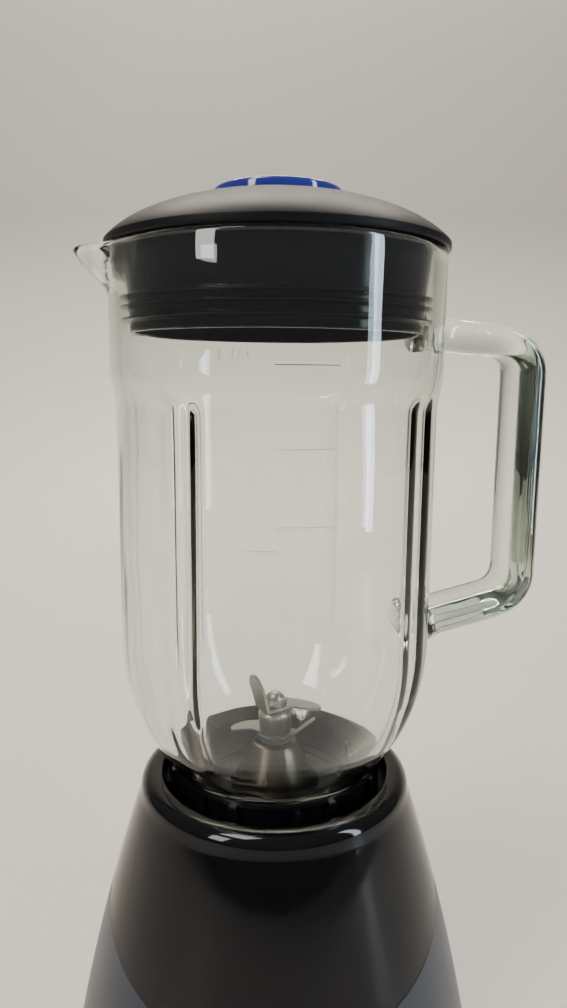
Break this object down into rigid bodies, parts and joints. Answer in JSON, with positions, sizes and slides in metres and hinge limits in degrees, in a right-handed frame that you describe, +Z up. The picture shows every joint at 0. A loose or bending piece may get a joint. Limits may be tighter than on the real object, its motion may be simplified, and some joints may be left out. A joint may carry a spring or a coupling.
{
  "type": "countertop blender",
  "caption": "Countertop blender: fluted glass jar with handle, pouring lip and press-in lid on a screwed blade base, over a round two-tone motor base with push-buttons.",
  "frame": {"origin": "on the blade axis, on the surface that the four feet stand on", "axes": "+Z up along the blade axis; -Y is the front with the buttons; the handle is on the +X side, turned 13 degrees towards +Y"},
  "size_m": [0.2012, 0.1779, 0.3682],
  "materials": {
    "lid_plastic": "satin black soft-touch moulding",
    "cap_plastic": "translucent cobalt blue, polished",
    "jar_glass": "clear pressed glass, faint green at thick edges",
    "seal_rubber": "matte black rubber",
    "collar_plastic": "gloss black moulding",
    "holder_plastic": "black nylon",
    "blade_steel": "ground stainless steel",
    "bush_bronze": "sintered bronze",
    "gloss_black": "piano black, polished",
    "satin_black": "satin blue-black",
    "plate_plastic": "fine-textured black",
    "foot_rubber": "soft grey-black rubber",
    "zinc_steel": "zinc-plated screws and springs",
    "button_plastic": "semi-gloss grey",
    "switch_nylon": "natural nylon",
    "board_laminate": "green laminate",
    "core_steel": "stacked electrical steel",
    "copper_wire": "enamelled copper",
    "shaft_steel": "ground steel",
    "bracket_alloy": "die-cast alloy",
    "carbon": "pressed carbon",
    "holder_brass": "pressed brass",
    "fan_nylon": "white nylon",
    "coupling_plastic": "glass-filled nylon"
  },
  "bodies": {
    "base": {"upper_housing": "gloss_black", "lower_housing": "satin_black", "bottom_plate": "plate_plastic", "feet": "foot_rubber", "housing_screws": "zinc_steel", "plate_screws": "zinc_steel", "control_panel": "gloss_black", "button_springs": "zinc_steel", "switch_bank": "switch_nylon", "speed_board": "board_laminate", "cord_gland": "seal_rubber", "stator_core": "core_steel", "field_coils": "copper_wire", "upper_bracket": "bracket_alloy", "lower_bracket": "bracket_alloy", "upper_bearing": "bush_bronze", "lower_bearing": "bush_bronze", "brush_holders": "holder_brass", "carbon_brushes": "carbon", "brush_springs": "zinc_steel", "motor_grommets": "seal_rubber", "motor_screws": "zinc_steel", "bracket_bolts": "zinc_steel"},
    "rotor": {"motor_shaft": "shaft_steel", "armature_core": "core_steel", "armature_windings": "copper_wire", "commutator": "copper_wire", "cooling_fan": "fan_nylon", "drive_coupling": "coupling_plastic"},
    "collar_unit": {"collar": "collar_plastic", "blade_holder": "holder_plastic", "blade_cup": "blade_steel", "spindle_bush": "bush_bronze", "spindle_seal": "seal_rubber"},
    "blades": {"spindle": "shaft_steel", "lower_blade": "blade_steel", "upper_blade": "blade_steel", "blade_washer": "zinc_steel", "blade_spacer": "blade_steel", "blade_nut": "blade_steel", "jar_coupling": "coupling_plastic"},
    "gasket": {"jar_gasket": "seal_rubber"},
    "jar": {"glass_jar": "jar_glass"},
    "lid": {"lid": "lid_plastic"},
    "lid_cap": {"lid_cap": "cap_plastic"},
    "off_button": {"off_button": "button_plastic"},
    "pulse_button": {"pulse_button": "button_plastic"},
    "speed_1_button": {"speed_1_button": "button_plastic"},
    "speed_2_button": {"speed_2_button": "button_plastic"},
    "speed_3_button": {"speed_3_button": "button_plastic"},
    "speed_4_button": {"speed_4_button": "button_plastic"}
  },
  "joints": [
    {"name": "jar_lift", "type": "slide", "parent": "base", "child": "collar_unit", "axis": [0, 0, 1], "range_m": [0, 0.15]},
    {"name": "gasket_rise", "type": "slide", "parent": "collar_unit", "child": "gasket", "axis": [0, 0, 1], "range_m": [0, 0.0051]},
    {"name": "jar_unscrew", "type": "hinge", "parent": "gasket", "child": "jar", "pos_m": [0, 0, 0.2], "axis": [0, 0, 1], "range_deg": [0, 450]},
    {"name": "lid_lift", "type": "slide", "parent": "jar", "child": "lid", "axis": [0, 0, 1], "range_m": [0, 0.12]},
    {"name": "cap_lift", "type": "slide", "parent": "lid", "child": "lid_cap", "axis": [0, 0, 1], "range_m": [0, 0.08]},
    {"name": "motor_spin", "type": "hinge", "parent": "base", "child": "rotor", "pos_m": [0, 0, 0.06], "axis": [0, 0, 1], "continuous": true},
    {"name": "blade_spin", "type": "hinge", "parent": "collar_unit", "child": "blades", "pos_m": [0, 0, 0.15], "axis": [0, 0, 1], "continuous": true},
    {"name": "off_press", "type": "slide", "parent": "base", "child": "off_button", "axis": [0.5078, 0.8368, -0.2048], "range_m": [0, 0.003], "stiffness_N_per_m": 300, "springref_m": -0.001, "deforming": ["button_springs"]},
    {"name": "pulse_press", "type": "slide", "parent": "base", "child": "pulse_button", "axis": [0.3146, 0.9269, -0.2048], "range_m": [0, 0.003], "stiffness_N_per_m": 300, "springref_m": -0.001, "deforming": ["button_springs"]},
    {"name": "speed_1_press", "type": "slide", "parent": "base", "child": "speed_1_button", "axis": [0.1066, 0.973, -0.2048], "range_m": [0, 0.003], "stiffness_N_per_m": 300, "springref_m": -0.001, "deforming": ["button_springs"]},
    {"name": "speed_2_press", "type": "slide", "parent": "base", "child": "speed_2_button", "axis": [-0.1066, 0.973, -0.2048], "range_m": [0, 0.003], "stiffness_N_per_m": 300, "springref_m": -0.001, "deforming": ["button_springs"]},
    {"name": "speed_3_press", "type": "slide", "parent": "base", "child": "speed_3_button", "axis": [-0.3146, 0.9269, -0.2048], "range_m": [0, 0.003], "stiffness_N_per_m": 300, "springref_m": -0.001, "deforming": ["button_springs"]},
    {"name": "speed_4_press", "type": "slide", "parent": "base", "child": "speed_4_button", "axis": [-0.5078, 0.8368, -0.2048], "range_m": [0, 0.003], "stiffness_N_per_m": 300, "springref_m": -0.001, "deforming": ["button_springs"]}
  ],
  "couplings": [
    {"joint": "gasket_rise", "follows": "jar_unscrew", "m_per_rad": 0.00063662},
    {"joint": "blade_spin", "follows": "motor_spin", "ratio": 1}
  ]
}
